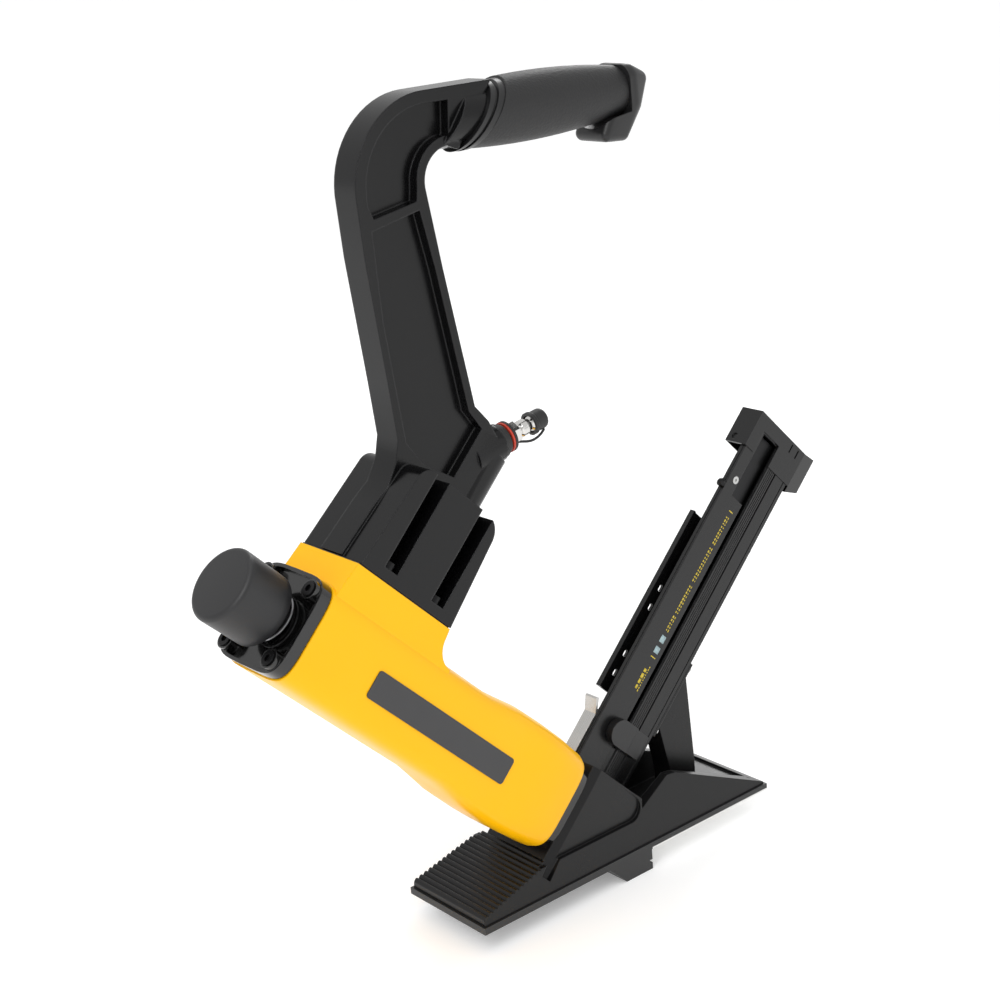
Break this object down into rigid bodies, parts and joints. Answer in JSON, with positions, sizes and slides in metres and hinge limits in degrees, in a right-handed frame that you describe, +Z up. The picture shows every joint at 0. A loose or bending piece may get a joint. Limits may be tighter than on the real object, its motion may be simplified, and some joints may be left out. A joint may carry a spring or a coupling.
{
  "type": "flooring nailer",
  "caption": "Mallet-struck pneumatic flooring stapler: yellow body at 45 degrees on a ribbed dark shoe, open staple magazine, black C-shaped handle with rubber grip and capped air plug.",
  "frame": {"origin": "corner where the board's top face meets the tongue stop, on the centre plane: the sole's underside is z = 0 and the stop's face is x = 0", "axes": "+X along the sole away from the board's edge, towards the heel under the magazine; +Y across the sole, so the loading side is -Y; +Z up from the floor"},
  "size_m": [0.5368, 0.082, 0.57],
  "materials": {
    "cast_dark": "cast aluminium with a black textured powder coat",
    "sole": "dark coated plate with a worn edge",
    "body_yellow": "semi-gloss yellow enamel on a smooth casting",
    "head_black": "glossy black enamel",
    "handle_black": "black satin powder coat",
    "mag_anodised": "black anodised extrusion, fine lines along its length",
    "steel": "ground steel",
    "stainless": "bright stainless strip",
    "screw_black": "black oxide socket screws",
    "screw_bright": "zinc-plated screws",
    "chrome": "nickel-plated air plug",
    "rubber": "black rubber",
    "grip": "soft ribbed black grip rubber",
    "cap_rubber": "hard black urethane, matt",
    "plastic": "black glass-filled nylon",
    "label": "matt dark grey panel",
    "valve_white": "white acetal",
    "brass": "turned brass",
    "seal_red": "red sealing ring",
    "aluminium": "turned aluminium"
  },
  "bodies": {
    "tool": {"sole_plate": "sole", "sole_screws": "screw_black", "shoe": "cast_dark", "strut": "cast_dark", "strut_rivets": "screw_bright", "nose_plate": "head_black", "nose_bolts": "screw_black", "driver_guide": "steel", "guide_cover": "steel", "guide_screws": "screw_black", "body_casting": "body_yellow", "label_near": "label", "label_far": "label", "cylinder_sleeve": "aluminium", "sleeve_seals": "rubber", "bumper": "cap_rubber", "head_valve_spring": "steel", "head_gasket": "rubber", "head_cap": "head_black", "head_screws": "screw_black", "valve_sleeve": "brass", "return_spring": "steel", "handle": "handle_black", "handle_gasket": "rubber", "handle_screws": "screw_black", "grip_collar": "plastic", "grip_sleeve": "grip", "grip_end_cap": "plastic", "grip_screw": "screw_bright", "inlet_boot": "rubber", "inlet_seal": "seal_red", "air_plug": "chrome", "dust_tether": "rubber", "magazine_rail": "mag_anodised", "side_rail": "mag_anodised", "staple_core": "steel", "rail_rivets": "screw_black", "side_screw": "screw_bright", "magazine_end_cap": "mag_anodised", "end_cap_tab": "plastic", "end_cap_screw": "screw_bright", "latch_pin": "steel"},
    "striker": {"strike_cap": "cap_rubber", "actuator_stem": "steel", "firing_valve": "brass"},
    "head_valve_body": {"head_valve": "valve_white", "head_valve_seal": "rubber"},
    "driver": {"piston": "aluminium", "piston_ring": "rubber", "driver_blade": "steel"},
    "pusher_body": {"pusher": "plastic", "pusher_coil": "stainless"},
    "latch": {"latch_lever": "stainless"},
    "dust_cap_body": {"dust_cap": "rubber"}
  },
  "joints": [
    {"name": "strike_slide", "type": "slide", "parent": "tool", "child": "striker", "axis": [0.7071, 0, -0.7071], "range_m": [0, 0.01], "stiffness_N_per_m": 3000, "springref_m": -0.004, "deforming": ["return_spring"]},
    {"name": "head_valve_slide", "type": "slide", "parent": "tool", "child": "head_valve_body", "axis": [-0.7071, 0, 0.7071], "range_m": [0, 0.006], "stiffness_N_per_m": 2500, "springref_m": -0.004, "deforming": ["head_valve_spring"]},
    {"name": "driver_slide", "type": "slide", "parent": "tool", "child": "driver", "axis": [0.7071, 0, -0.7071], "range_m": [0, 0.0916]},
    {"name": "pusher_slide", "type": "slide", "parent": "tool", "child": "pusher_body", "axis": [0.7071, 0, 0.7071], "range_m": [0, 0.215], "stiffness_N_per_m": 30, "springref_m": -0.25},
    {"name": "latch_hinge", "type": "hinge", "parent": "tool", "child": "latch", "pos_m": [-0.05148, 0, 0.07159], "axis": [0, -1, 0], "range_deg": [0, 25]},
    {"name": "dust_cap_slide", "type": "slide", "parent": "tool", "child": "dust_cap_body", "axis": [0.9848, 0, 0.1736], "range_m": [0, 0.014], "deforming": ["dust_tether"]}
  ]
}
